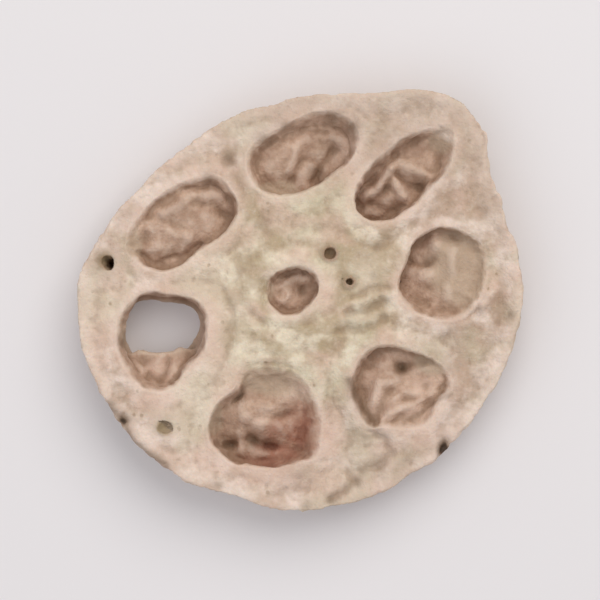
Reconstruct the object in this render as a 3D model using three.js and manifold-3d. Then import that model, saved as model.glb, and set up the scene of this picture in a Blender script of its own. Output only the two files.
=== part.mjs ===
// A dried slice of lotus root, cut straight across near the tapered end of one segment of the root.
//
// Air channels run along the living root: one in its middle, a ring of seven around that, and a few
// fine ones between those. Each shows in the slice as a hole right through it. The segment tapers
// towards its end, and its channels close there, so the lower cut face is smaller than the upper one
// and every channel narrows on its way down, like a bowl with an opening in its bottom. Drying has
// thinned the rim and curled it off the table, so the slice rests on the middle of its lower face.
//
// Millimetres, +Z up. The origin is on the table, under the middle of the slice.

import * as THREE from "three";
import { mergeVertices, toCreasedNormals } from "three/addons/utils/BufferGeometryUtils.js";
import Module from "manifold-3d";

const THICKNESS = 3.8; // at the middle of the slice
const RIM_THICKNESS = 3.2; // at its rim
const RIM_LIFT = 0.7; // the most that the rim has curled up
const CURL_DIRECTION = 35; // degrees from +X to where the rim has curled most
const FLAT_SHARE = 0.55; // share of the rim's radius inside which the lower face is flat
const LOWER_FACE_SHARE = 0.9; // size of the lower face against the upper one
const FOOT_HEIGHT = 0.15; // share of the thickness in which a channel is as narrow as its foot
const MOUTH_FLARE = 1.05; // how much a channel widens where it meets a cut face

// Rim of the slice, counter-clockwise from +X.
const RIM = [
  [14.0, 0.0],
  [13.7, 3.0],
  [12.8, 5.8],
  [11.9, 8.6],
  [11.4, 11.0],
  [10.2, 12.7],
  [8.1, 13.5],
  [3.9, 13.4],
  [-0.2, 13.1],
  [-4.0, 12.1],
  [-7.4, 10.1],
  [-10.4, 7.5],
  [-12.8, 4.4],
  [-14.2, 1.1],
  [-14.2, -2.4],
  [-13.0, -5.7],
  [-10.8, -8.8],
  [-7.8, -11.1],
  [-4.0, -12.5],
  [0.2, -13.2],
  [4.3, -12.3],
  [7.9, -10.4],
  [10.7, -7.8],
  [12.8, -4.4],
];

// Each channel's mouth in the upper face is an oval of this length and width, centred at x, y, with
// its length turned this many degrees from +X. egg narrows the end that the turn points to, and
// corners squares the oval: 2 is an ellipse. lean is how far the channel's foot in the lower face
// lies from its mouth, and foot is the foot's size against the mouth.
const CHANNELS = [
  { x: -7.5, y: 5.0, length: 7.2, width: 4.3, turn: 36, egg: 0, corners: 2.6, lean: [0.3, -0.5], foot: 0.5 },
  { x: 0.1, y: 9.4, length: 7.0, width: 4.3, turn: 26, egg: 0.1, corners: 2.4, lean: [0.1, -0.9], foot: 0.5 },
  { x: 6.4, y: 8.1, length: 7.5, width: 3.6, turn: 42, egg: 0.12, corners: 2.3, lean: [-1.3, -1.4], foot: 0.5 },
  { x: 8.9, y: 1.8, length: 5.7, width: 5.0, turn: 70, egg: 0, corners: 2.4, lean: [-0.9, 0.9], foot: 0.5 },
  { x: 6.1, y: -5.3, length: 6.1, width: 4.8, turn: -20, egg: 0, corners: 2.6, lean: [-0.2, 0.8], foot: 0.42 },
  { x: -2.2, y: -7.1, length: 6.1, width: 6.4, turn: 90, egg: 0.14, corners: 2.5, lean: [-0.6, -1.2], foot: 0.44 },
  { x: -8.8, y: -2.5, length: 6.0, width: 5.4, turn: -97, egg: 0.26, corners: 2.5, lean: [0.25, 0.5], foot: 0.62 },
  { x: -0.6, y: 0.85, length: 3.2, width: 2.9, turn: 40, egg: 0.15, corners: 2.2, lean: [0.1, -0.1], foot: 0.6 },
];

// Where the fine channels, which are round, meet the upper face.
const PORES = [
  { x: 1.7, y: 3.05, radius: 0.42 },
  { x: 3.0, y: 1.4, radius: 0.3 },
  { x: -12.2, y: 2.6, radius: 0.38 },
  { x: -8.6, y: -7.8, radius: 0.36 },
];

const RIM_SEGMENTS = 84;
const FACE_RINGS = 8;
const FACE_EDGE = 0.955; // share of the radius where a cut face starts to round into the rim
const CHANNEL_SEGMENTS = 26;
const PORE_SEGMENTS = 12;
const CREASE = 35; // degrees between two faces that makes the edge between them a sharp one

const { lerp, clamp, smoothstep, degToRad } = THREE.MathUtils;

// The rim's distance from the slice's axis in every direction, from a smooth closed curve.
const rimPoints = new THREE.CatmullRomCurve3(
  RIM.map(([x, y]) => new THREE.Vector3(x, y, 0)),
  true,
  "centripetal",
).getPoints(360);

function rimRadius(angle) {
  const ray = new THREE.Vector3(Math.cos(angle), Math.sin(angle), 0);
  const side = new THREE.Vector3(-ray.y, ray.x, 0);
  for (let i = 1; i < rimPoints.length; i++) {
    const [a, b] = [rimPoints[i - 1], rimPoints[i]];
    const [before, after] = [a.dot(side), b.dot(side)];
    if (before <= 0 && after > 0 && a.dot(ray) > 0) {
      return lerp(a.dot(ray), b.dot(ray), before / (before - after));
    }
  }
  throw new Error("the rim doesn't go all the way round");
}

// Drying thins the slice towards its rim and curls the rim up, most on two opposite sides.
function dry(x, y, z) {
  const angle = Math.atan2(y, x);
  const share = Math.hypot(x, y) / rimRadius(angle);
  const curl = 0.65 + 0.35 * Math.cos(2 * (angle - degToRad(CURL_DIRECTION)));
  const lift = RIM_LIFT * curl * smoothstep(share, FLAT_SHARE, 1);
  const thinning = lerp(1, RIM_THICKNESS / THICKNESS, smoothstep(share, 0, 1));
  return [x, y, z * thinning + lift];
}

// Moves every vertex of a geometry to where place(x, y, z) says.
function mapVertices(geometry, place) {
  const position = geometry.getAttribute("position");
  for (let i = 0; i < position.count; i++) {
    position.setXYZ(i, ...place(position.getX(i), position.getY(i), position.getZ(i)));
  }
  return geometry;
}

// The slice with no channels yet, from a lathed disc of radius 1 and height 1.
function disc() {
  const faceShares = Array.from({ length: FACE_RINGS }, (_, i) => (FACE_EDGE * i) / FACE_RINGS);
  const lowerFace = faceShares.map((share) => [share * LOWER_FACE_SHARE, 0]);
  const side = [
    [FACE_EDGE * LOWER_FACE_SHARE, 0],
    [LOWER_FACE_SHARE, 0.07],
    [lerp(LOWER_FACE_SHARE, 1, 0.25), 0.25],
    [lerp(LOWER_FACE_SHARE, 1, 0.5), 0.5],
    [lerp(LOWER_FACE_SHARE, 1, 0.85), 0.75],
    [1, 0.9],
    [0.985, 0.98],
    [FACE_EDGE, 1],
  ];
  const upperFace = faceShares.map((share) => [share, 1]).reverse();
  const profile = [...lowerFace, ...side, ...upperFace];
  const lathed = new THREE.LatheGeometry(
    profile.map(([share, height]) => new THREE.Vector2(share, height)),
    RIM_SEGMENTS,
  ).rotateX(Math.PI / 2);
  return mapVertices(lathed, (x, y, height) => {
    const radius = rimRadius(Math.atan2(y, x));
    return dry(x * radius, y * radius, height * THICKNESS);
  });
}

// The point at an angle on a channel's oval, for a mouth centred at 0, 0.
function ovalPoint({ length, width, turn, egg, corners }, angle) {
  const squared = (value) => Math.sign(value) * Math.abs(value) ** (2 / corners);
  const along = squared(Math.cos(angle));
  const across = squared(Math.sin(angle)) * (1 - egg * along);
  return new THREE.Vector2((along * length) / 2, (across * width) / 2).rotateAround(
    new THREE.Vector2(),
    degToRad(turn),
  );
}

// A channel from below the slice to above it: heights are shares of the thickness, and at each of
// them widen is how far the bowl has opened from the foot, 0, to the mouth, 1.
function channelLevels() {
  const bowl = [0.06, 0.2, 0.42, 0.7, 0.9].map((share) => ({
    height: lerp(FOOT_HEIGHT, 1, share),
    widen: Math.sqrt(share),
    flare: 1,
  }));
  return [
    { height: -0.3, widen: 0, flare: MOUTH_FLARE },
    { height: 0, widen: 0, flare: MOUTH_FLARE },
    { height: FOOT_HEIGHT, widen: 0, flare: 1 },
    ...bowl,
    { height: 1, widen: 1, flare: MOUTH_FLARE },
    { height: 1.3, widen: 1, flare: MOUTH_FLARE },
  ];
}

function channel(mouth) {
  const levels = channelLevels();
  const steps = levels.length - 1;
  const tube = new THREE.CylinderGeometry(1, 1, steps, CHANNEL_SEGMENTS, steps)
    .rotateX(Math.PI / 2)
    .translate(0, 0, steps / 2);
  return mapVertices(tube, (x, y, step) => {
    const { height, widen, flare } = levels[Math.round(step)];
    const size = Math.hypot(x, y) * lerp(mouth.foot, 1, widen) * flare;
    const sunk = 1 - clamp(height, 0, 1);
    const point = ovalPoint(mouth, Math.atan2(y, x));
    return dry(
      mouth.x + point.x * size + mouth.lean[0] * sunk,
      mouth.y + point.y * size + mouth.lean[1] * sunk,
      height * THICKNESS,
    );
  });
}

// A fine channel, which leans in by as much as the slice tapers.
function pore({ x, y, radius }) {
  const tube = new THREE.CylinderGeometry(radius, radius, 2 * THICKNESS, PORE_SEGMENTS)
    .rotateX(Math.PI / 2)
    .translate(0, 0, THICKNESS / 2);
  return mapVertices(tube, (px, py, z) => {
    const taper = lerp(LOWER_FACE_SHARE, 1, z / THICKNESS);
    return dry(x * taper + px, y * taper + py, z);
  });
}

const wasm = await Module();
wasm.setup();

function solidFrom(geometry) {
  geometry.deleteAttribute("normal");
  geometry.deleteAttribute("uv");
  const merged = mergeVertices(geometry, 1e-4);
  const triVerts = [];
  for (let i = 0; i < merged.index.count; i += 3) {
    const [a, b, c] = [0, 1, 2].map((k) => merged.index.getX(i + k));
    if (a !== b && b !== c && c !== a) triVerts.push(a, b, c);
  }
  return new wasm.Manifold(
    new wasm.Mesh({
      numProp: 3,
      vertProperties: merged.getAttribute("position").array,
      triVerts: new Uint32Array(triVerts),
    }),
  );
}

function geometryFrom(solid) {
  const { vertProperties, triVerts } = solid.getMesh();
  return new THREE.BufferGeometry()
    .setAttribute("position", new THREE.BufferAttribute(vertProperties, 3))
    .setIndex(new THREE.BufferAttribute(triVerts, 1));
}

function sliceMesh() {
  let solid = solidFrom(disc());
  for (const hole of [...CHANNELS.map(channel), ...PORES.map(pore)]) {
    solid = solid.subtract(solidFrom(hole));
  }
  const geometry = toCreasedNormals(geometryFrom(solid), degToRad(CREASE));
  geometry.computeBoundingBox();

  const flesh = new THREE.MeshStandardMaterial({ color: "#d0bca4", roughness: 0.85, metalness: 0 });
  const mesh = new THREE.Mesh(geometry, flesh);
  mesh.name = "lotus_root_slice";
  const middle = geometry.boundingBox.getCenter(new THREE.Vector3());
  mesh.position.set(-middle.x, -middle.y, -geometry.boundingBox.min.z);
  return mesh;
}

export default new THREE.Group().add(sliceMesh());
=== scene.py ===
import math

import bmesh
import bpy
import numpy as np
from mathutils import Matrix, Vector, noise
from mathutils.bvhtree import BVHTree
from mathutils.kdtree import KDTree


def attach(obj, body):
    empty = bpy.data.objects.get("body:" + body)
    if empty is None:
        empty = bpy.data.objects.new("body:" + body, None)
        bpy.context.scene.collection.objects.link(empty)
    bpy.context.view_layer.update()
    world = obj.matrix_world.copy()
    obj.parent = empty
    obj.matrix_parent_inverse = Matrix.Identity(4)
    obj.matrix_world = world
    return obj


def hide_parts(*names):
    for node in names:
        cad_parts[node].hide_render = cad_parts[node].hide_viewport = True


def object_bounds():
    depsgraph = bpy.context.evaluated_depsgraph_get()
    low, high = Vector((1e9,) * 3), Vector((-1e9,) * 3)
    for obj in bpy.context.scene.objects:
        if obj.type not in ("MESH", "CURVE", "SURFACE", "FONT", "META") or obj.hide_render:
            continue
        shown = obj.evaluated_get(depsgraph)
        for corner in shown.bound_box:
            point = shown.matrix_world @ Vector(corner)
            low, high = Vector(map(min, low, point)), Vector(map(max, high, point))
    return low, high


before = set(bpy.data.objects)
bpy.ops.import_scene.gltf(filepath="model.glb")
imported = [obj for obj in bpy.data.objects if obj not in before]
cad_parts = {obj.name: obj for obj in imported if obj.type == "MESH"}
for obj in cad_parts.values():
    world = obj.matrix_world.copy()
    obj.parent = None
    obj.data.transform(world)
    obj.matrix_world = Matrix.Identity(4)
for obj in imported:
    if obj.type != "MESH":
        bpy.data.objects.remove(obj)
cad_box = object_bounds()

MM = 0.001

# ------------------------------------------------------------------ camera, light, table
# In metres, watts and degrees.

SLICE_SHARE = 0.76  # share of the view's width that the slice fills
LENS = 300.0  # mm, with the sensor's width below
SENSOR = 36.0
CLIP = (0.01, 10.0)  # the nearest and the farthest that the camera sees
KEY_DIRECTION = (66, 52)  # from +X, and above the table
KEY_DISTANCE = 0.30
KEY_SIZE = 0.30
KEY_WATTS = 0.53
FILL_DIRECTION = (215, 60)
FILL_DISTANCE = 0.40
FILL_SIZE = 0.5
FILL_WATTS = 0.40
SKY_STRENGTH = 0.58
TABLE_REACH = 1.5  # from its middle to each edge


def to_linear(code):
    """The linear colour of an sRGB hex code."""
    channels = [int(code[i : i + 2], 16) / 255 for i in (1, 3, 5)]
    return [c / 12.92 if c <= 0.04045 else ((c + 0.055) / 1.055) ** 2.4 for c in channels] + [1.0]


def add_camera():
    """A long lens straight above the slice, which lies with its widest way across the view."""
    low, high = cad_box
    middle = (low + high) / 2
    distance = (high.x - low.x) / SLICE_SHARE * LENS / SENSOR
    data = bpy.data.cameras.new("camera")
    data.lens = LENS
    data.sensor_width = SENSOR
    data.clip_start, data.clip_end = CLIP
    camera = bpy.data.objects.new("camera", data)
    camera.location = (middle.x, middle.y, high.z + distance)
    bpy.context.scene.collection.objects.link(camera)
    bpy.context.scene.camera = camera


def add_area_light(name, azimuth, elevation, distance, size, watts, colour):
    """A soft round lamp that points at the origin."""
    data = bpy.data.lights.new(name, "AREA")
    data.shape = "DISK"
    data.size = size
    data.energy = watts
    data.color = to_linear(colour)[:3]
    lamp = bpy.data.objects.new(name, data)
    a, e = math.radians(azimuth), math.radians(elevation)
    towards = Vector((math.cos(a) * math.cos(e), math.sin(a) * math.cos(e), math.sin(e)))
    lamp.location = towards * distance
    lamp.rotation_euler = towards.to_track_quat("Z", "Y").to_euler()
    bpy.context.scene.collection.objects.link(lamp)


def add_sky():
    """Even light from all round, nearly white."""
    world = bpy.data.worlds.new("studio")
    world.use_nodes = True
    background = world.node_tree.nodes["Background"]
    background.inputs["Color"].default_value = to_linear("#f4f4f6")
    background.inputs["Strength"].default_value = SKY_STRENGTH
    bpy.context.scene.world = world


def add_node(tree, kind, settings=None, inputs=None):
    """Adds a node, sets its properties, and sets or links each named or numbered input."""
    made = tree.nodes.new(kind)
    for name, value in (settings or {}).items():
        setattr(made, name, value)
    for key, value in (inputs or {}).items():
        if isinstance(value, bpy.types.NodeSocket):
            tree.links.new(value, made.inputs[key])
        else:
            made.inputs[key].default_value = value
    return made


def new_material(name):
    """A material with an empty Principled shader, and its tree and shader."""
    material = bpy.data.materials.new(name)
    material.use_nodes = True
    tree = material.node_tree
    return material, tree, tree.nodes["Principled BSDF"]


def add_table():
    """A sheet of white card, uncoated and rolled smooth, which is matt and shows only soft shadows."""
    mesh = bpy.data.meshes.new("table")
    bm = bmesh.new()
    bmesh.ops.create_grid(bm, x_segments=1, y_segments=1, size=TABLE_REACH)
    bm.to_mesh(mesh)
    bm.free()
    table = bpy.data.objects.new("table", mesh)
    bpy.context.scene.collection.objects.link(table)
    material, _, shader = new_material("matte_white_card")
    shader.inputs["Base Color"].default_value = to_linear("#e2dfe0")
    shader.inputs["Roughness"].default_value = 0.9
    shader.inputs["Specular IOR Level"].default_value = 0.2
    mesh.materials.append(material)


add_camera()
add_area_light("key", *KEY_DIRECTION, KEY_DISTANCE, KEY_SIZE, KEY_WATTS, "#fffaf4")
add_area_light("fill", *FILL_DIRECTION, FILL_DISTANCE, FILL_SIZE, FILL_WATTS, "#f6f8ff")
add_sky()
add_table()
bpy.context.scene.view_settings.view_transform = "Standard"  # with no curve over the colours

# ------------------------------------------------------------------ the slice's shape
# It is worked on in millimetres and brought back to metres at the end.

VOXEL = 0.125
MOST_TRIANGLES = 190_000
MEAN_RADIUS = 13.0
RING_SPACING = 0.85  # between the faint rings that dry in round each channel

LINING_THICKNESS = 0.36
LINING_STEP = 0.2  # between the points of a lining's sheet
LOWEST_LINING = 0.4
HIGHEST_LINING = 3.1

PORE_REACH = 1.0  # the mouth of a fine channel lies this near its middle
PORE_LINING_REACH = 0.6
PORE_LINING_ROUGHNESS = 0.3
# the reach of the shade painted in each fine channel
PORE_SHADE_RADIUS = 0.5

BLANK_SMOOTHING = (0.5, 5)  # factor and repeats, to round the edges of the joined shape
LAST_SMOOTHING = (0.2, 1)
SOFTENING = (0.5, 30)  # for the copy that folds are told from

# The lining of each channel has dried, come away from the wall and fallen into soft folds across its
# narrow foot. Each has its middle, its reach along and across, its turn in degrees, its height above
# the table at the wall, how far it swells above that in its middle, and its rise per millimetre
# towards +X and +Y. A swell is x, y, radius and rise, a fold is the points along it, its half-width
# and its rise, and a tear is x, y and radius.
LININGS = {
    "upper_left": {
        "at": (-7.3, 5.0), "reach": (3.6, 2.4), "turn": 36,
        "edge": 2.25, "crown": 0.4, "rise": (-0.08, 0.0),
        "swells": [
            (-7.1, 3.9, 0.5, 0.3), (-8.3, 4.2, 0.5, 0.2), (-7.7, 5.5, 0.8, 0.25), (-4.8, 5.2, 0.5, -0.5),
            (-9.8, 4.2, 0.8, 0.3),
        ],
        "folds": [
            ([(-8.5, 5.3), (-6.7, 6.6), (-5.2, 6.3)], 0.28, 0.35),
            ([(-7.0, 7.2), (-5.7, 7.5), (-4.4, 6.4)], 0.35, -0.5),
            ([(-6.4, 6.1), (-5.5, 5.9), (-5.0, 5.2)], 0.22, -0.2),
            ([(-10.0, 2.9), (-8.9, 2.4), (-7.4, 2.6), (-6.0, 3.3)], 0.42, -0.7),
            ([(-9.4, 2.7), (-8.3, 2.2), (-7.2, 2.6)], 0.15, 0.3),
        ],
    },
    "top": {
        "at": (0.2, 9.2), "reach": (3.8, 2.5), "turn": 26,
        "edge": 1.5, "crown": 0.6,
        "swells": [(-1.1, 9.4, 1.0, 0.45), (2.3, 10.1, 0.8, 0.25), (-1.8, 8.2, 0.5, 0.25)],
        "folds": [
            ([(2.0, 9.3), (1.4, 8.4), (0.7, 7.3)], 0.36, -0.8),
            ([(0.8, 8.9), (0.0, 8.5), (-0.6, 7.5)], 0.26, -0.45),
            ([(-2.4, 9.9), (-1.3, 10.9)], 0.34, -0.55),
            ([(0.6, 9.9), (-0.2, 9.3), (-0.9, 8.0)], 0.24, 0.3),
            ([(2.6, 11.0), (3.4, 10.3)], 0.34, -0.6),
        ],
    },
    "upper_right": {
        "at": (6.2, 7.9), "reach": (3.9, 2.1), "turn": 42,
        "edge": 1.5, "crown": 0.7, "rise": (0.12, 0.12),
        "swells": [(7.6, 9.4, 0.9, 0.2)],
        "folds": [
            ([(3.9, 6.3), (4.9, 7.2), (5.9, 8.2)], 0.22, 0.6),
            ([(3.5, 6.6), (4.7, 7.9), (6.3, 9.1)], 0.22, -0.5),
            ([(6.1, 7.9), (7.2, 7.3), (8.2, 6.9)], 0.28, -0.8),
            ([(5.4, 7.1), (5.3, 6.7)], 0.28, -0.6),
            ([(4.0, 6.0), (5.4, 5.7), (7.0, 6.0)], 0.3, -0.45),
            ([(5.9, 8.1), (6.2, 7.0), (6.6, 6.2)], 0.2, 0.5),
            ([(6.3, 8.6), (7.6, 8.0), (8.5, 7.7)], 0.24, 0.3),
            ([(6.8, 9.3), (8.0, 10.3)], 0.2, -0.25),
            ([(6.8, 8.8), (8.4, 9.2)], 0.2, -0.2),
        ],
    },
    "right": {
        "at": (8.9, 1.9), "reach": (2.9, 2.6), "turn": 70,
        "edge": 2.05, "crown": 0.35, "rise": (0.22, 0.0),
        "swells": [(8.6, 3.4, 0.4, 0.6), (8.0, 1.6, 0.4, 0.3), (7.4, -0.2, 0.9, -0.15)],
        "folds": [
            ([(9.5, 4.3), (9.8, 3.7)], 0.42, -0.6),
            ([(6.9, 2.4), (7.9, 2.3), (8.3, 2.6)], 0.26, -0.6),
            ([(9.3, 2.8), (9.4, 1.2), (9.2, 0.2)], 0.4, 0.3),
            ([(6.5, 1.4), (6.6, 0.2)], 0.3, -0.3),
        ],
    },
    "lower_right": {
        "at": (6.2, -5.4), "reach": (3.1, 2.5), "turn": -20,
        "edge": 2.1, "crown": 0.5, "rise": (0.08, 0.0),
        "swells": [
            (6.3, -4.2, 0.45, -1.1), (4.4, -4.1, 0.5, -0.3), (8.2, -4.4, 0.9, 0.4),
            (6.5, -7.2, 0.9, 0.4),
        ],
        "folds": [
            ([(6.8, -4.1), (7.8, -3.9)], 0.28, -0.4),
            ([(3.2, -5.1), (3.7, -6.6), (4.5, -7.7)], 0.42, -1.1),
            ([(9.1, -5.8), (7.4, -6.6), (5.6, -7.4)], 0.22, -0.5),
            ([(4.1, -6.5), (5.2, -5.3), (5.9, -5.0)], 0.28, 0.4),
            ([(5.5, -6.6), (6.4, -5.8), (7.4, -5.9)], 0.22, 0.25),
            ([(6.2, -6.5), (7.1, -6.2)], 0.2, -0.35),
            ([(5.2, -7.2), (6.8, -6.8), (8.6, -6.0)], 0.26, 0.6),
        ],
    },
    "bottom": {
        "at": (-2.2, -7.5), "reach": (3.1, 3.2), "turn": 90,
        "edge": 1.45, "crown": 0.45, "rise": (0.0, 0.3),
        "swells": [
            (-3.9, -5.9, 0.42, -1.0), (-2.5, -7.8, 0.35, 0.45), (-3.4, -7.1, 0.35, 0.3),
            (-2.1, -6.6, 0.4, 0.3), (-4.6, -7.2, 0.4, 0.25), (-1.3, -7.9, 0.35, 0.3),
        ],
        "folds": [
            ([(-4.6, -8.9), (-4.2, -9.0)], 0.32, -0.8),
            ([(-3.4, -8.5), (-2.6, -8.8), (-1.6, -9.1)], 0.32, -0.9),
            ([(-3.9, -8.3), (-3.8, -9.3)], 0.2, 0.35),
            ([(-1.5, -7.2), (-0.7, -7.0)], 0.25, -0.45),
            ([(0.3, -9.2), (0.6, -8.5)], 0.3, -0.15),
            ([(-3.0, -9.7), (-0.3, -9.5)], 0.16, 0.2),
        ],
    },
    "middle": {
        "at": (-0.5, 0.7), "reach": (1.7, 1.6), "turn": 40,
        "edge": 1.9, "crown": 0.35,
        "swells": [(-1.1, 0.3, 0.4, 0.6), (0.1, 0.6, 0.35, -0.7)],
        "folds": [([(-1.0, 1.1), (-0.3, 1.5), (0.4, 1.2)], 0.2, 0.4)],
    },
    "lower_left": {
        "at": (-8.7, -4.4), "reach": (2.7, 2.4), "turn": 0,
        "edge": 1.6, "crown": 0.0, "rise": (0.0, -0.5),
        "swells": [(-9.9, -4.2, 0.5, 0.3), (-7.8, -4.5, 0.5, 0.25), (-8.85, -3.8, 0.4, 0.25)],
        "folds": [
            ([(-10.4, -3.0), (-8.6, -3.4), (-6.8, -3.0)], 0.25, 0.5),
            ([(-9.6, -3.7), (-9.4, -4.3), (-8.9, -4.9)], 0.24, -0.45),
            ([(-8.1, -3.7), (-8.2, -4.4), (-8.7, -4.9)], 0.24, -0.45),
        ],
        "tears": [(-8.6, -0.7, 2.5), (-10.4, -1.2, 1.9), (-7.2, -1.2, 1.8)],
    },
}

# Fine channels: x, y, the height of the dried lining that closes each one, where there is one, and how
# dark the shade painted in it is.
PORES = [
    (1.8, 2.94, 2.7, 0.65), (3.1, 1.29, 2.7, 0.55), (-8.5, -7.91, 3.05, 0.6),
    (-12.1, 2.49, None, 0.75),
]

# Creases and ridges in the upper cut face: points along each one, its half-width and its rise.
FACE_FOLDS = [
    ([(4.5, -7.7), (5.3, -8.5), (5.6, -9.7), (4.9, -10.5), (3.8, -10.6)], 0.3, -0.22),
    ([(3.2, -8.0), (2.9, -9.3), (3.2, -10.6)], 0.3, -0.12),
    ([(3.0, -10.8), (3.5, -11.3), (2.0, -12.4)], 0.28, -0.24),
    ([(5.8, -10.3), (7.6, -9.1), (9.4, -7.4)], 0.34, 0.14),
    ([(12.0, 0.4), (10.9, -1.0), (9.8, -1.9)], 0.28, 0.18),
    ([(10.9, -0.6), (10.1, -1.6), (9.0, -2.5)], 0.28, -0.22),
    (
        [(11.3, 11.0), (11.9, 7.4), (12.6, 3.7), (12.5, 0.3), (11.7, -3.1), (10.8, -6.1), (8.9, -8.6)],
        0.42, -0.14,
    ),
    ([(-3.9, 9.7), (-5.0, 7.8)], 0.30, -0.12),
    ([(-2.6, 6.7), (-2.0, 3.7)], 0.35, -0.10),
    ([(3.4, 0.1), (4.9, 0.8), (5.9, 0.8)], 0.26, -0.22),
    ([(3.0, -0.4), (4.4, 0.1), (5.6, 0.4)], 0.20, 0.10),
    ([(3.0, -0.9), (4.2, -0.7), (5.6, -0.1)], 0.26, -0.24),
    ([(2.4, -1.9), (4.0, -1.8), (5.4, -1.2)], 0.24, -0.20),
    ([(-4.6, 0.6), (-4.2, -1.2), (-4.4, -3.0)], 0.30, -0.12),
    ([(-3.3, -3.3), (-1.4, -3.4), (0.4, -3.2)], 0.26, -0.10),
    ([(1.6, -4.6), (1.9, -6.6), (1.8, -8.4)], 0.30, -0.12),
    ([(4.3, 5.0), (3.0, 4.2), (1.0, 4.4)], 0.28, -0.10),
    ([(-5.0, 2.6), (-3.9, 3.6), (-3.4, 5.2)], 0.28, -0.12),
    ([(-3.0, -1.0), (-1.4, -1.7), (0.6, -1.5), (2.0, -0.6)], 0.30, -0.12),
    ([(-2.6, -2.0), (-0.6, -2.7), (1.6, -2.3)], 0.35, 0.08),
    ([(5.0, 3.4), (7.0, 4.7)], 0.28, -0.12),
    ([(4.4, 3.8), (5.6, 4.9)], 0.28, 0.09),
    ([(-12.9, -1.0), (-12.2, -4.8), (-10.3, -8.2)], 0.40, -0.10),
    ([(-5.6, -5.4), (-6.0, -8.0), (-5.2, -10.3)], 0.40, -0.08),
]

# Places in the channels that the mouth slopes down towards: x, y, the two radii, and the height there.
SHOULDERS = [
    (-2.0, -5.6, 2.6, 1.9, 2.2), (10.6, 2.0, 1.8, 2.5, 2.75), (7.8, -4.7, 1.8, 1.6, 2.75),
    (8.4, 9.9, 1.1, 1.1, 2.9), (-1.3, 0.5, 1.4, 1.2, 2.5), (-9.6, 3.7, 1.4, 1.5, 2.7),
    (-1.4, 7.7, 1.8, 1.3, 2.7),
]
ABOVE_ALL = 4.2  # a height that no part of the slice reaches
SHOULDER_SOFTNESS = 0.12

# The foot of the slice settles onto the table by this much, and what lies higher less and less.
SETTLING = 0.4
FOOT_HEIGHT = 1.4

# Places where the wall of a channel has shrunk in or drawn out: x, y, radius, and the shift in X and Y.
PULLS = [
    (-6.6, -4.6, 1.4, -0.7, 0.1), (-11.0, -0.3, 1.2, 0.1, -0.15), (6.3, 0.8, 1.5, -0.35, 0.0),
    (8.7, -7.3, 1.7, -0.35, 0.45), (4.2, -7.2, 1.0, 0.1, -0.6), (-5.2, -8.0, 1.3, -0.5, 0.1),
    (-4.9, -5.0, 1.2, 0.6, -0.5), (0.8, -9.8, 0.9, 0.4, -0.1),
]

# The lower left channel stays wide down to its foot: its middle, its two radii and the widening.
WIDE_FOOT = (-7.7, -2.6, 2.8, 6.0, 0.9)

# Where the lower channel has dried red-brown: x, y and the two radii.
FLUSH = [(0.1, -7.9, 1.4, 1.9), (-1.7, -9.7, 2.1, 0.9), (-1.2, -8.2, 1.3, 1.0)]

# Places where a channel is lined with bare flesh: x, y and the two radii.
BARE = [
    (-1.6, -4.8, 2.5, 1.2), (10.4, 2.0, 2.5, 2.9), (8.9, 10.0, 0.9, 1.0), (-8.5, -2.0, 3.2, 1.7),
    (8.3, -3.8, 1.3, 0.9), (-2.3, 0.5, 0.7, 1.0), (-1.4, 6.9, 1.5, 0.6), (-10.5, 3.4, 0.8, 1.3),
    (-5.2, -7.5, 0.6, 1.1), (0.3, -5.3, 0.9, 0.9), (-8.5, -7.9, 1.2, 1.2),
]

# Places where the upper face or a lining is rosier and lighter: x, y and the two radii.
# Where these lie on the shaded walls of the lower left channel, the lighter colour is painted light.
ROSY_AND_LIT_PLACES = [
    (3.3, 7.6, 0.9, 1.5), (3.1, 9.3, 1.0, 1.0), (-5.5, -1.7, 0.7, 1.8), (1.6, 0.6, 0.7, 1.2),
    (-1.6, -11.0, 3.0, 0.9), (1.7, -8.6, 0.8, 1.7), (-5.9, -9.8, 1.0, 0.8), (-8.9, -6.3, 1.6, 0.6),
    (-12.5, -2.6, 0.8, 2.2), (-0.2, 2.9, 1.0, 0.5), (8.6, -8.6, 1.6, 0.8), (5.6, -9.1, 1.0, 0.5),
    (6.8, -7.1, 1.5, 0.6), (4.7, -5.8, 0.5, 1.0), (7.6, -5.4, 0.9, 0.5), (-6.3, -2.4, 0.5, 1.2),
    (-8.6, -4.1, 1.4, 0.9), (-2.6, -7.6, 0.5, 0.4), (-5.0, -10.4, 1.1, 0.8),
    (0.1, -5.6, 0.7, 0.6),
]

# Places where shade is painted on the upper face, and places where light is painted on it: x, y and the
# two radii.
SHADED_PATCHES = [(4.5, -8.2, 4.2, 3.0), (9.4, -2.4, 1.6, 3.0), (-0.2, -11.1, 1.2, 0.8)]
LIT_PATCHES = [(-6.4, -0.5, 2.4, 9.0), (4.3, 1.6, 1.1, 1.4), (-13.2, -1.0, 1.2, 3.5)]
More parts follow.
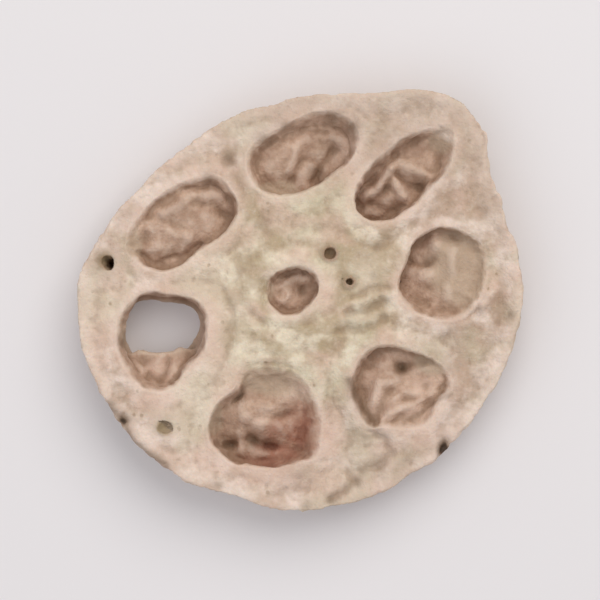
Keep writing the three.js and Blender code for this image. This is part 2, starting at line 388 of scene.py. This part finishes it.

# Brown stains, and dark spots of painted shade: x, y, radius, strength, and how deep each is eaten in.
STAINS_AND_SHADE = [
    # on the upper face, with painted shade round the fine channels at (1.8, 2.94) and (3.1, 1.29)
    (-4.3, 8.9, 0.45, 0.5, 0.1), (-2.4, 4.7, 0.5, 0.3, 0.0), (4.8, 1.6, 0.35, 0.3, 0.05),
    (3.1, -1.5, 0.28, 0.5, 0.1), (6.7, -9.9, 0.4, 0.3, 0.05), (11.1, -0.7, 0.3, 0.5, 0.1),
    (4.8, 3.3, 0.3, 0.3, 0.05), (1.8, 2.94, 0.5, 0.25, 0.0), (3.1, 1.29, 0.4, 0.2, 0.0),
    (3.6, -11.3, 0.35, 0.4, 0.05), (4.9, -10.4, 0.4, 0.3, 0.0),
    # on the rim, with painted shade in the notch at (9.1, -9.4) and below the lower channel, and partly
    # at (-11.2, -7.6)
    (9.1, -9.4, 0.5, 1.5, 0.4), (13.0, -0.9, 0.3, 0.5, 0.1), (-11.2, -7.6, 0.5, 1.25, 0.25),
    (-12.2, 2.5, 0.6, 0.3, 0.0), (-9.8, -9.2, 0.3, 0.5, 0.1), (-5.0, -11.6, 0.35, 0.5, 0.1),
    (0.3, -12.7, 0.4, 0.4, 0.05), (2.0, -12.5, 0.35, 0.6, 0.1), (-0.2, -11.0, 0.8, 0.2, 0.0),
    # in the channels: painted shade in the deepest gaps and creases of the linings, with brown patches
    (6.35, -4.2, 0.48, 1.0, 0.1), (7.5, -3.9, 0.45, 0.4, 0.0), (-3.9, -5.9, 0.42, 0.9, 0.1),
    (-4.5, -9.0, 0.4, 0.7, 0.1), (-2.9, -8.8, 0.42, 0.85, 0.0), (-2.1, -9.1, 0.42, 0.85, 0.0),
    (-0.9, -7.0, 0.35, 0.45, 0.0), (-0.3, -8.0, 0.3, 0.3, 0.0), (-1.3, -7.6, 0.25, 0.3, 0.0),
    (-7.2, 5.4, 1.1, 0.17, 0.0), (-1.7, 8.7, 0.9, 0.12, 0.0),
    (8.0, 2.4, 0.35, 0.6, 0.0), (9.6, 3.9, 0.5, 0.2, 0.0), (1.0, 8.1, 0.55, 0.65, 0.0),
    (-5.8, 7.5, 0.5, 0.5, 0.0), (-8.2, 2.9, 0.5, 0.25, 0.0), (7.4, 7.2, 0.4, 0.6, 0.0),
    (5.5, 7.0, 0.3, 0.6, 0.0), (8.9, -6.2, 0.35, 0.35, 0.0), (-7.4, -0.6, 0.6, 0.4, 0.0),
    (-10.9, -2.6, 0.4, 0.5, 0.0), (0.1, 0.6, 0.35, 0.5, 0.0), (1.7, 9.4, 1.1, 0.36, 0.0),
    (3.3, 10.7, 0.6, 0.65, 0.0), (2.1, 11.3, 0.55, 0.6, 0.0), (-1.0, 10.9, 0.4, 0.5, 0.0),
    (-2.2, 10.0, 0.5, 0.5, 0.0), (-0.8, 7.6, 0.45, 0.4, 0.0), (7.2, 8.9, 1.6, 0.18, 0.0),
    (-4.9, 5.2, 0.5, 0.2, 0.0), (-0.3, 1.1, 0.7, 0.3, 0.0),
]

# Brown lines, partly stains and partly painted shade along creases and the lower left rim: the points
# along each one, its half-width and its strength.
STAINED_AND_SHADED_LINES = [
    ([(-12.0, -6.5), (-11.4, -7.4), (-10.2, -9.0), (-8.4, -10.4)], 0.32, 0.7),
    ([(3.1, -5.0), (3.4, -5.8), (3.85, -6.4), (4.5, -7.05)], 0.24, 0.8),
    ([(9.4, -6.2), (8.15, -7.2), (6.5, -7.7)], 0.2, 0.4),
    ([(4.5, -7.6), (5.3, -8.6), (5.5, -9.5), (4.8, -10.5)], 0.32, 0.22),
    ([(3.9, -10.8), (3.4, -11.3), (2.0, -12.3)], 0.3, 0.28),
    ([(3.0, -0.9), (4.2, -0.7), (5.6, -0.1)], 0.24, 0.18),
    ([(2.4, -1.9), (4.0, -1.8), (5.4, -1.2)], 0.24, 0.15),
]


def evaluated_mesh(obj):
    """A new mesh with the object's modifiers applied."""
    graph = bpy.context.evaluated_depsgraph_get()
    return bpy.data.meshes.new_from_object(obj.evaluated_get(graph))


def noise_field(points, size, seed, stretch=(1, 1, 1)):
    """Smooth noise from -1 to 1 at each point, with blobs about this many millimetres across."""
    offset = Vector((17.3 * seed, -9.1 * seed, 5.7 * seed))
    scaled = points / (np.array(stretch) * size)
    return np.array([noise.noise(Vector(p) + offset) for p in scaled])


def ridged(points, size, seed, stretch=(1, 1, 1)):
    """Noise from 0 to 1 with sharp ridges, as dried skin wrinkles."""
    return 1 - np.abs(noise_field(points, size, seed, stretch))


def ramp(values, low, high):
    """0 below low, 1 above high, with a smooth step between."""
    t = np.clip((values - low) / (high - low), 0, 1)
    return t * t * (3 - 2 * t)


def distance_to_path(points, path):
    """Each point's distance, seen from above, to a line of straight stretches."""
    nearest = np.full(len(points), np.inf)
    for a, b in zip(np.array(path[:-1]), np.array(path[1:])):
        along = np.clip((points[:, :2] - a) @ (b - a) / ((b - a) @ (b - a)), 0, 1)
        gap = points[:, :2] - (a + along[:, None] * (b - a))
        nearest = np.minimum(nearest, np.hypot(gap[:, 0], gap[:, 1]))
    return nearest


def swell(points, x, y, radius, rise):
    """A round hump, or a dip where the rise is negative."""
    return rise * np.exp(-((points[:, 0] - x) ** 2 + (points[:, 1] - y) ** 2) / radius**2)


def oval(points, x, y, across, along):
    """1 at a place, falling to 0 around it at the two radii."""
    return np.exp(-(((points[:, 0] - x) / across) ** 2) - ((points[:, 1] - y) / along) ** 2)


def widening(points, x, y, across, along, amount):
    """The shift that pushes a channel's wall outwards, more and more towards its foot."""
    out = (points[:, :2] - (x, y)) / (across, along)
    share = np.linalg.norm(out, axis=1)
    push = amount * np.exp(-(((share - 1) / 0.5) ** 2)) * ramp(2.6 - points[:, 2], 0.0, 2.0)
    outwards = out / np.maximum(share, 0.3)[:, None]
    return np.column_stack([outwards * push[:, None], np.zeros(len(points))])


def fold(points, path, width, rise):
    """A ridge along a path, or a crease where the rise is negative."""
    return rise * np.exp(-((distance_to_path(points, path) / width) ** 2))


def lining_height(
    points, share, at, edge, crown=0.0, rise=(0, 0), swells=(), folds=(), rough=1.0, seed=0
):
    """The height of a fallen lining at each point. share is 0 at its middle and 1 at its edge."""
    stray = [noise_field(points, size=1.1, seed=seed + 1 + i) for i in range(3)]
    warped = points + 0.25 * np.column_stack(stray)
    heights = edge + crown * (1 - share**2) + (points[:, :2] - at) @ np.array(rise)
    heights += sum(swell(warped, *each) for each in swells)
    heights += sum(fold(warped, *each) for each in folds)
    uneven = 0.25 * noise_field(points, size=1.8, seed=seed + 6)
    uneven += 0.20 * (ridged(warped, size=1.1, seed=seed + 4) ** 3 - 0.4)
    uneven += 0.08 * (ridged(warped, size=0.55, seed=seed + 5) ** 3 - 0.4)
    return np.clip(heights + rough * uneven, LOWEST_LINING, HIGHEST_LINING)


def lining_object(name, at, reach, turn, tears=(), seed=0, **shape):
    """A thin folded sheet across a channel."""
    bm = bmesh.new()
    steps = max(6, round(2 * max(reach) / LINING_STEP))
    bmesh.ops.create_grid(bm, x_segments=steps, y_segments=steps, size=1)
    outside = [v for v in bm.verts if v.co.length > 1]
    bmesh.ops.delete(bm, geom=outside, context="VERTS")
    share = np.array([v.co.length for v in bm.verts])
    bmesh.ops.scale(bm, verts=bm.verts, vec=(*reach, 1))
    bmesh.ops.rotate(bm, verts=bm.verts, matrix=Matrix.Rotation(math.radians(turn), 3, "Z"))
    bmesh.ops.translate(bm, verts=bm.verts, vec=(*at, 0))

    points = np.array([v.co for v in bm.verts])
    for vert, height in zip(bm.verts, lining_height(points, share, at, seed=seed, **shape)):
        vert.co.z = height
    ragged = 0.25 * noise_field(points, size=0.9, seed=seed + 8)
    clear = np.full(len(points), np.inf)
    for x, y, radius in tears:
        clear = np.minimum(clear, np.hypot(points[:, 0] - x, points[:, 1] - y) - radius)
    torn = [v for v, gap in zip(bm.verts, clear + ragged) if gap < 0]
    bmesh.ops.delete(bm, geom=torn, context="VERTS")

    mesh = bpy.data.meshes.new(name)
    bm.to_mesh(mesh)
    bm.free()
    lining = bpy.data.objects.new(name, mesh)
    bpy.context.scene.collection.objects.link(lining)
    thicken = lining.modifiers.new("thickness", "SOLIDIFY")
    thicken.thickness = LINING_THICKNESS
    thicken.offset = 0
    return lining


def merged_copy(node):
    """The CAD node's mesh as one closed surface, in millimetres."""
    bm = bmesh.new()
    bm.from_mesh(node.data)
    bmesh.ops.remove_doubles(bm, verts=bm.verts, dist=1e-7)
    bmesh.ops.scale(bm, verts=bm.verts, vec=(1 / MM, 1 / MM, 1 / MM))
    bm.normal_update()
    return bm


UPPER, LOWER, SIDE, WALL = range(4)
NEARLY_LEVEL = 0.8  # the least upright share of a cut face's normal
UPPER_FACE_ABOVE = 2.2
LOWER_FACE_BELOW = 1.0
FACING_OUT = 0.4  # the least outward share of the normal on the side
SIDE_BEYOND = 10.3  # from the middle of the slice


def face_kind(face):
    """Which part of the slice a face of the CAD shape belongs to."""
    middle = face.calc_center_median()
    out = Vector((middle.x, middle.y, 0)).normalized()
    if face.normal.z > NEARLY_LEVEL and middle.z > UPPER_FACE_ABOVE:
        return UPPER
    if face.normal.z < -NEARLY_LEVEL and middle.z < LOWER_FACE_BELOW:
        return LOWER
    if face.normal.dot(out) > FACING_OUT and math.hypot(middle.x, middle.y) > SIDE_BEYOND:
        return SIDE
    return WALL


def points_between(bm, kinds, one, other):
    """Points along the edges where one kind of face meets another."""
    points = []
    for edge in bm.edges:
        if len(edge.link_faces) == 2 and {kinds[f.index] for f in edge.link_faces} == {one, other}:
            a, b = (v.co for v in edge.verts)
            points += [a.lerp(b, t) for t in (0, 0.25, 0.5, 0.75)]
    return points


def distance_to(points, places):
    """Each point's distance to the nearest of the places."""
    tree = KDTree(len(places))
    for i, place in enumerate(places):
        tree.insert(place, i)
    tree.balance()
    return np.array([tree.find(p)[2] for p in points])


def read_vectors(items, key):
    """One vector of each mesh item, such as its place, as the rows of an array."""
    values = np.empty(len(items) * 3, dtype=np.float32)
    items.foreach_get(key, values)
    return values.reshape(-1, 3).astype(float)


def smooth(mesh, factor, repeat):
    """Moves each point towards the middle of its neighbours, again and again."""
    bm = bmesh.new()
    bm.from_mesh(mesh)
    for _ in range(repeat):
        bmesh.ops.smooth_vert(
            bm, verts=bm.verts, factor=factor, use_axis_x=True, use_axis_y=True, use_axis_z=True
        )
    bm.to_mesh(mesh)
    bm.free()


def drop_loose_bits(mesh):
    """Keeps the largest connected part of a mesh."""
    bm = bmesh.new()
    bm.from_mesh(mesh)
    unseen = set(bm.verts)
    parts = []
    while unseen:
        part = [unseen.pop()]
        for vert in part:  # which grows as it is walked
            beside = {edge.other_vert(vert) for edge in vert.link_edges} & unseen
            unseen -= beside
            part.extend(beside)
        parts.append(part)
    parts.sort(key=len)
    loose = [vert for part in parts[:-1] for vert in part]
    bmesh.ops.delete(bm, geom=loose, context="VERTS")
    bm.to_mesh(mesh)
    bm.free()


def dense_slice(cad):
    """The CAD shape joined with its loose lining, in even small faces with softened edges."""
    mesh = bpy.data.meshes.new("slice_blank")
    blank = bpy.data.objects.new("slice_blank", mesh)
    bpy.context.scene.collection.objects.link(blank)
    linings = [
        lining_object(name, seed=10 * i, **shape) for i, (name, shape) in enumerate(LININGS.items())
    ]
    linings += [
        lining_object(
            "pore", at=(x, y), reach=(PORE_LINING_REACH, PORE_LINING_REACH), turn=0,
            edge=height, rough=PORE_LINING_ROUGHNESS,
        )
        for x, y, height, _ in PORES
        if height
    ]
    joined = cad.copy()
    for lining in linings:
        solid = evaluated_mesh(lining)
        joined.from_mesh(solid)
        bpy.data.meshes.remove(solid)
    joined.to_mesh(mesh)
    joined.free()
    remesh = blank.modifiers.new("even_faces", "REMESH")
    remesh.mode = "VOXEL"
    remesh.voxel_size = VOXEL
    dense = evaluated_mesh(blank)
    drop_loose_bits(dense)
    for spare in [blank, *linings]:
        data = spare.data
        bpy.data.objects.remove(spare)
        bpy.data.meshes.remove(data)
    smooth(dense, *BLANK_SMOOTHING)
    return dense


def height_over_softened(mesh):
    """How far each point stands out of a softened copy of the surface."""
    soft = mesh.copy()
    smooth(soft, *SOFTENING)
    out = read_vectors(mesh.vertices, "co") - read_vectors(soft.vertices, "co")
    bpy.data.meshes.remove(soft)
    return np.sum(out * read_vectors(mesh.vertex_normals, "vector"), axis=1)


class Survey:
    """The points of the dense slice, and where each of them lies on the CAD shape."""

    def __init__(self, mesh, cad):
        kinds = [face_kind(f) for f in cad.faces]
        tree = BVHTree.FromBMesh(cad)
        self.points = read_vectors(mesh.vertices, "co")
        self.normals = read_vectors(mesh.vertex_normals, "vector")
        hits = [tree.find_nearest(p) for p in self.points]
        self.kind = np.array([kinds[hit[2]] for hit in hits])
        self.off_wall = ramp(np.array([hit[3] for hit in hits]), 0.15, 0.45)  # 1 on a fallen lining

        mouths = points_between(cad, kinds, UPPER, WALL) + points_between(cad, kinds, LOWER, WALL)
        wide_mouths = [p for p in mouths if not self.in_a_pore(p)]
        rims = points_between(cad, kinds, UPPER, SIDE) + points_between(cad, kinds, LOWER, SIDE)
        self.to_mouth = distance_to(self.points, wide_mouths)
        self.to_rim = distance_to(self.points, rims)

        self.broad = noise_field(self.points, size=2.8, seed=1)
        self.middling = noise_field(self.points, size=1.2, seed=2)
        self.fine = noise_field(self.points, size=0.45, seed=3)
        self.grain = noise_field(self.points, size=0.26, seed=4)
        self.warped = self.points + 0.15 * np.column_stack([self.middling, self.fine, self.fine])
        self.radius = np.hypot(self.points[:, 0], self.points[:, 1])
        around = self.points[:, :2] / np.maximum(self.radius, 0.01)[:, None] * MEAN_RADIUS
        # noise over these rows runs round the side, and hardly changes up and down it
        self.unrolled = np.column_stack([around, (self.radius + self.points[:, 2]) / 4])

    @staticmethod
    def in_a_pore(point):
        return any(math.hypot(point.x - x, point.y - y) < PORE_REACH for x, y, _, _ in PORES)

    def stain_and_shade(self):
        """How brown each point is, from stains and from painted shade, and how deep it is eaten in."""
        browned = np.zeros(len(self.points))
        eaten = np.zeros(len(self.points))
        for x, y, radius, strength, depth in STAINS_AND_SHADE:
            spot = swell(self.warped, x, y, radius, 1.0) * (self.kind != LOWER)
            browned = np.maximum(browned, strength * spot)
            eaten += depth * spot
        for each in STAINED_AND_SHADED_LINES:
            browned = np.maximum(browned, fold(self.warped, *each) * (self.kind != LOWER))
        return browned, eaten

    def any_of(self, places):
        """1 in the middle of any of the oval places, falling to 0 around them."""
        return np.max([oval(self.warped, *each) for each in places], axis=0)


def face_relief(at):
    """Cut flesh sinks between the channels, wrinkles and pits, and puckers towards the rim."""
    flesh = ramp(at.to_mouth, 0.1, 1.5) * ramp(at.to_rim, 0.3, 1.6)
    height = -(0.20 + 0.18 * at.broad) * flesh + 0.09 * at.middling * flesh
    wrinkles = 0.06 * flesh * ridged(at.points, size=1.3, seed=5) ** 3
    wrinkles += 0.055 * ridged(at.warped, size=0.5, seed=11) ** 3
    pits = 0.06 * ramp(noise_field(at.points, size=0.32, seed=12), 0.35, 0.6)
    grain = 0.03 * (1 + at.fine) + 0.02 * (1 + at.grain)
    puckers = 0.07 * (1 - ramp(at.to_rim, 0.6, 2.2)) * ridged(at.unrolled, size=0.8, seed=10) ** 2
    height -= wrinkles + pits + grain + puckers
    rings = np.sin(2 * math.pi * (at.to_mouth + 0.5 * at.middling + 0.4 * at.broad) / RING_SPACING)
    height += 0.022 * rings * ramp(at.to_mouth, 0.3, 0.8) * (1 - ramp(at.to_mouth, 1.4, 2.6))
    for each in FACE_FOLDS:
        height += (at.kind == UPPER) * fold(at.warped, *each)
    return height


def wall_relief(at):
    """The channels' walls are lumpy and furrowed along their length, and their linings crinkled."""
    lumps = 0.15 * noise_field(at.points, size=1.5, seed=7)
    furrows = 0.10 * (ridged(at.points, size=0.7, seed=6, stretch=(1, 1, 5)) ** 2 - 0.5)
    height = (lumps + furrows) * ramp(at.to_mouth, 0.0, 0.5)
    return height * (1 - at.off_wall) + 0.04 * at.fine + 0.02 * at.grain


def side_relief(at):
    """The peeled side shrinks unevenly, into pleats along the root."""
    lumps = 0.10 * noise_field(at.points, size=2.4, seed=9)
    pleats = 0.16 * ridged(at.unrolled, size=0.75, seed=8) ** 2
    grain = 0.03 * (1 + at.fine)
    return -0.12 - lumps - pleats - grain


def shrinkage(at):
    """How far each point is drawn sideways and down as the whole slice dries."""
    sway = [0.20 * noise_field(at.points, size=2.0, seed=13 + i, stretch=(1, 1, 4)) for i in range(2)]
    ceiling = np.full(len(at.points), ABOVE_ALL)
    for x, y, across, along, low in SHOULDERS:
        ceiling -= (ABOVE_ALL - low) * oval(at.warped, x, y, across, along)
    over = (at.points[:, 2] - ceiling) / SHOULDER_SOFTNESS
    shift = np.column_stack([*sway, -SHOULDER_SOFTNESS * np.logaddexp(0, over)])
    for x, y, reach, right, back in PULLS:
        shift += swell(at.points, x, y, reach, 1.0)[:, None] * (right, back, 0)
    return shift + widening(at.points, *WIDE_FOOT)


def relief(mesh, cad):
    """Dries the dense slice's surface, and returns the masks that its finish needs."""
    at = Survey(mesh, cad)
    browned, eaten = at.stain_and_shade()
    on_face = (at.kind == UPPER) | (at.kind == LOWER)
    on_wall = at.kind == WALL
    height = np.where(on_face, face_relief(at) - eaten, side_relief(at))
    height = np.where(on_wall, wall_relief(at), height)
    moved = at.points + at.normals * height[:, None] + shrinkage(at)
    moved[:, 2] -= SETTLING * ramp(FOOT_HEIGHT - moved[:, 2], 0.0, FOOT_HEIGHT)
    moved[:, 2] = np.maximum(moved[:, 2], 0)
    mesh.vertices.foreach_set("co", moved.astype(np.float32).ravel())
    mesh.update()
    smooth(mesh, *LAST_SMOOTHING)

    into_channel = np.where(on_wall, at.to_mouth, -at.to_mouth)
    round_rim = np.where(at.kind == SIDE, at.to_rim, -at.to_rim)
    lip = ramp(-into_channel, -0.5, -0.2) * (1 - ramp(-into_channel + 0.5 * at.broad, 0.0, 0.7))
    bare = ramp(at.any_of(BARE), 0.27, 0.6)
    # painted shade in the fine channels, darkest at the middle of each
    pore = sum(swell(at.points, x, y, PORE_SHADE_RADIUS, dark) for x, y, _, dark in PORES)
    standing = height_over_softened(mesh)
    folded = np.where(on_wall, 1.0, 0.5) * np.clip(1 - 1.4 * pore, 0, 1)
    # how much of each look a point has, mostly from 0 to 1
    return {
        "lining": ramp(into_channel + 0.12 * at.middling, 0.05, 0.6),
        "lip": lip * (at.kind != SIDE) * (1 - bare) * (0.6 + 0.8 * at.broad),
        # rosier tone, and painted light on the lower left channel's shaded walls
        "rosy_and_lit": at.any_of(ROSY_AND_LIT_PLACES),
        "side": ramp(round_rim + 0.2 * at.middling, 0.0, 0.9),
        "rim": 1 - ramp(at.to_rim, 0.4, 1.8),
        "sunk": np.clip(-height / 0.35, 0, 1),
        # painted shade, darker where the surface folds in below its softened copy
        "fold_shade": ramp(-standing, 0.005, 0.08) * folded * (1 - 0.6 * bare),
        # painted highlight, lighter where the surface stands out of its softened copy
        "ridge_highlight": ramp(standing, 0.005, 0.07) * folded,
        "pore": pore,
        "heart": 1 - ramp(at.radius + 1.5 * at.broad, 4.5, 9.5),
        "bare": bare,
        # brown stains, with painted shade in gaps, creases and notches
        "stain_and_shade": browned,
        # partly painted shade and partly a greyer tone, rising towards the top and upper right
        "greyer_and_shaded_to_top": ramp(at.points @ (0.4, 1.0, 0.0) + 1.5 * at.broad, 7.0, 14.0),
        # painted shade and painted light, in broad patches on the face
        "painted_shade_patches": at.any_of(SHADED_PATCHES),
        "painted_light_patches": at.any_of(LIT_PATCHES),
        # painted shade, darker the lower a point lies in a channel
        "depth": ramp(3.3 - at.points[:, 2], 0.2, 2.4) * (1 - bare),
        "flush": ramp(at.any_of(FLUSH), 0.25, 0.8) * ramp(into_channel, -0.1, 0.25),
    }


def make_slice(node):
    """The finished slice, and the names of the masks that its points carry."""
    cad = merged_copy(node)
    mesh = dense_slice(cad)
    masks = relief(mesh, cad)
    cad.free()
    for name, values in masks.items():
        attribute = mesh.attributes.new(name, "FLOAT", "POINT")
        attribute.data.foreach_set("value", values.astype(np.float32))
    mesh.transform(Matrix.Scale(MM, 4))
    piece = bpy.data.objects.new("dried_root_slice", mesh)
    bpy.context.scene.collection.objects.link(piece)
    thin_out = piece.modifiers.new("fewer_faces_where_flat", "DECIMATE")
    triangles = 2 * len(mesh.polygons)
    thin_out.ratio = min(1.0, MOST_TRIANGLES / triangles)
    piece.data = evaluated_mesh(piece)
    piece.modifiers.clear()
    piece.data.shade_smooth()
    bpy.data.meshes.remove(mesh)
    return piece, list(masks)


# ------------------------------------------------------------------ the slice's finish

# The patterns in the dried flesh, each called by its size in millimetres. Its blotches are 1 to 4.5 mm
# across. Starch grains are 0.01 to 0.06 mm and vessels about 0.1 mm, too fine to show, so the grain is
# drawn as coarse as 0.16 to 0.5 mm.
PATTERN_SIZES = (4.5, 3.1, 3.0, 2.3, 1.9, 1.5, 1.3, 1.1, 1.0, 0.5, 0.45, 0.4, 0.35, 0.3, 0.16)
SPECK_SPACING = 1.1
GRAIN_DEPTH = 0.1  # how deep the shading makes the grain look, also in millimetres


def covered(tree, below, above, amount, most=1.0, start=None, full=None, least=0.0):
    """One colour over another, by an amount from a mask or a pattern.

    Without a start the cover is in proportion to the amount, up to most where the amount is 1. With one
    it rises smoothly, from least at the start to most where it is full.
    """
    if start is None:
        settings = {"interpolation_type": "LINEAR", "clamp": False}
        limits = {"From Min": 0.0, "From Max": 1.0}
    else:
        settings = {"interpolation_type": "SMOOTHSTEP"}
        limits = {"From Min": start, "From Max": full}
    limits.update({"To Min": least, "To Max": most})
    share = add_node(tree, "ShaderNodeMapRange", settings, {"Value": amount, **limits})
    low, high = (to_linear(c) if isinstance(c, str) else c for c in (below, above))
    inputs = {0: share.outputs["Result"], 6: low, 7: high}
    return add_node(tree, "ShaderNodeMix", {"data_type": "RGBA"}, inputs).outputs[2]


def dried_root_flesh(mask_names):
    """Lotus root flesh, knife-cut and dried in warm air.

    The cut faces are matt, pale tan starch, blotched and finely grained. The lip round each channel
    dries pinker, and the lining of the channels and the peeled side dry browner.
    """
    material, tree, shader = new_material("dried_lotus_root_flesh")
    where = add_node(tree, "ShaderNodeTexCoord").outputs["Object"]
    mask = {
        name: add_node(tree, "ShaderNodeAttribute", {"attribute_name": name}).outputs["Fac"]
        for name in mask_names
    }
    pattern = {}
    for size in PATTERN_SIZES:
        inputs = {"Vector": where, "Scale": 1 / (size * MM), "Detail": 3.0}
        pattern[size] = add_node(tree, "ShaderNodeTexNoise", {}, inputs).outputs["Fac"]

    # the cut faces
    pale = covered(tree, "#ebd8cb", "#e7dbc3", mask["heart"])
    tan = covered(tree, "#ba9e8a", "#b4a182", mask["heart"])
    flesh = covered(tree, tan, pale, pattern[1.9], start=0.38, full=0.62)
    flesh = covered(tree, flesh, "#c9c0a3", pattern[4.5], most=0.55, start=0.5, full=0.62)
    flesh = covered(tree, flesh, "#d8b7a5", pattern[3.1], most=0.6, start=0.5, full=0.65)
    flesh = covered(tree, flesh, "#b59d84", pattern[1.1], most=0.5, start=0.5, full=0.7)
    flesh = covered(tree, flesh, "#b39b82", pattern[0.35], most=0.3, start=0.3, full=0.7)
    flesh = covered(tree, flesh, "#b09b83", mask["sunk"], most=0.4, start=0.5, full=1.5)
    # painted light, then painted shade, in broad patches on the face
    flesh = covered(tree, flesh, "#ebdcc8", mask["painted_light_patches"], most=0.45)
    flesh = covered(tree, flesh, "#b8a592", mask["painted_shade_patches"], most=0.45)
    # partly painted shade and partly a greyer tone, towards the top and upper right
    flesh = covered(tree, flesh, "#b8a592", mask["greyer_and_shaded_to_top"], most=0.55)
    flesh = covered(tree, flesh, "#e9dccc", pattern[0.3], most=0.25, start=0.5, full=0.8)
    flesh = covered(tree, flesh, "#dfc1b0", mask["rosy_and_lit"], most=0.6)

    # brown specks, in some places only
    inputs = {"Vector": where, "Scale": 1 / (SPECK_SPACING * MM)}
    cells = add_node(tree, "ShaderNodeTexVoronoi", {}, inputs).outputs["Distance"]
    inputs = {0: pattern[0.4], 1: 0.3, 2: cells}
    ragged = add_node(tree, "ShaderNodeMath", {"operation": "MULTIPLY_ADD"}, inputs).outputs[0]
    specked = covered(tree, flesh, "#8f775c", ragged, start=0.3, full=0.2)
    flesh = covered(tree, flesh, specked, pattern[2.3], most=0.6, start=0.45, full=0.6)

    # the lips of the channels, the rim and the side
    lip = covered(tree, "#e0c8b9", "#d1b3a0", pattern[1.5], start=0.4, full=0.6)
    colour = covered(tree, flesh, lip, mask["lip"], most=0.8)
    colour = covered(tree, colour, "#d9c6b8", mask["rim"], most=0.3)
    side = covered(tree, "#d3bcaa", "#bfa48e", pattern[3.0], start=0.4, full=0.65)
    side = covered(tree, side, "#a98d76", pattern[0.4], most=0.35, start=0.4, full=0.7)
    colour = covered(tree, colour, side, mask["side"])

    # the linings of the channels
    lining = covered(tree, "#cbad97", "#b49580", pattern[1.0], start=0.35, full=0.65)
    lining = covered(tree, lining, "#9c7a64", pattern[0.3], most=0.4, start=0.4, full=0.7)
    # painted shade, browner deeper down in the channels
    lining = covered(tree, lining, "#8e6d56", mask["depth"], most=0.35)
    lining = covered(tree, lining, "#b9a48d", mask["bare"], most=0.7)
    # rosier and lighter lining, and painted light on the lower left channel's shaded walls
    lining = covered(tree, lining, "#d9bca9", mask["rosy_and_lit"], most=0.65)
    colour = covered(tree, colour, lining, mask["lining"])
    flush = {"most": 0.75, "start": 0.35, "full": 0.65, "least": 0.35}
    flushed = covered(tree, colour, "#a8705a", pattern[1.3], **flush)
    colour = covered(tree, colour, flushed, mask["flush"])
    # painted shade in the folds and creases, redder where the channel is flushed
    fold_shade = covered(tree, "#82644b", "#865642", mask["flush"])
    colour = covered(tree, colour, fold_shade, mask["fold_shade"], most=0.55)
    # painted highlight on the ridges and folds
    colour = covered(tree, colour, "#e2cebd", mask["ridge_highlight"], most=0.3)

    # stains, and painted shade in the fine channels and in the gaps, creases and notches
    # painted shade in the fine channels
    colour = covered(tree, colour, "#857650", mask["pore"])
    # painted shade in gaps, creases and notches, the darkest almost black, with brown stains
    stain_and_shade = covered(tree, "#664f39", "#6b4130", mask["flush"])
    colour = covered(tree, colour, stain_and_shade, mask["stain_and_shade"], most=0.85)
    colour = covered(tree, colour, "#33261c", mask["stain_and_shade"], most=0.8, start=0.8, full=1.2)
    tree.links.new(colour, shader.inputs["Base Color"])

    settings = {"interpolation_type": "SMOOTHSTEP"}
    inputs = {"Value": pattern[0.5], "From Min": 0.2, "From Max": 0.8, "To Min": 0.62, "To Max": 0.85}
    rough = add_node(tree, "ShaderNodeMapRange", settings, inputs).outputs["Result"]
    tree.links.new(rough, shader.inputs["Roughness"])
    shader.inputs["Specular IOR Level"].default_value = 0.35
    shader.inputs["Subsurface Weight"].default_value = 0.12
    shader.inputs["Subsurface Radius"].default_value = (1.0, 0.55, 0.3)
    shader.inputs["Subsurface Scale"].default_value = 0.5 * MM

    inputs = {0: pattern[0.16], 1: pattern[0.45]}
    grain = add_node(tree, "ShaderNodeMath", {"operation": "ADD"}, inputs).outputs[0]
    inputs = {"Height": grain, "Distance": GRAIN_DEPTH * MM, "Strength": 0.7}
    bump = add_node(tree, "ShaderNodeBump", {}, inputs).outputs["Normal"]
    tree.links.new(bump, shader.inputs["Normal"])
    return material


NODE = "lotus_root_slice"
piece, mask_names = make_slice(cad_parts[NODE])
piece.data.materials.append(dried_root_flesh(mask_names))
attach(piece, "root")
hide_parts(NODE)
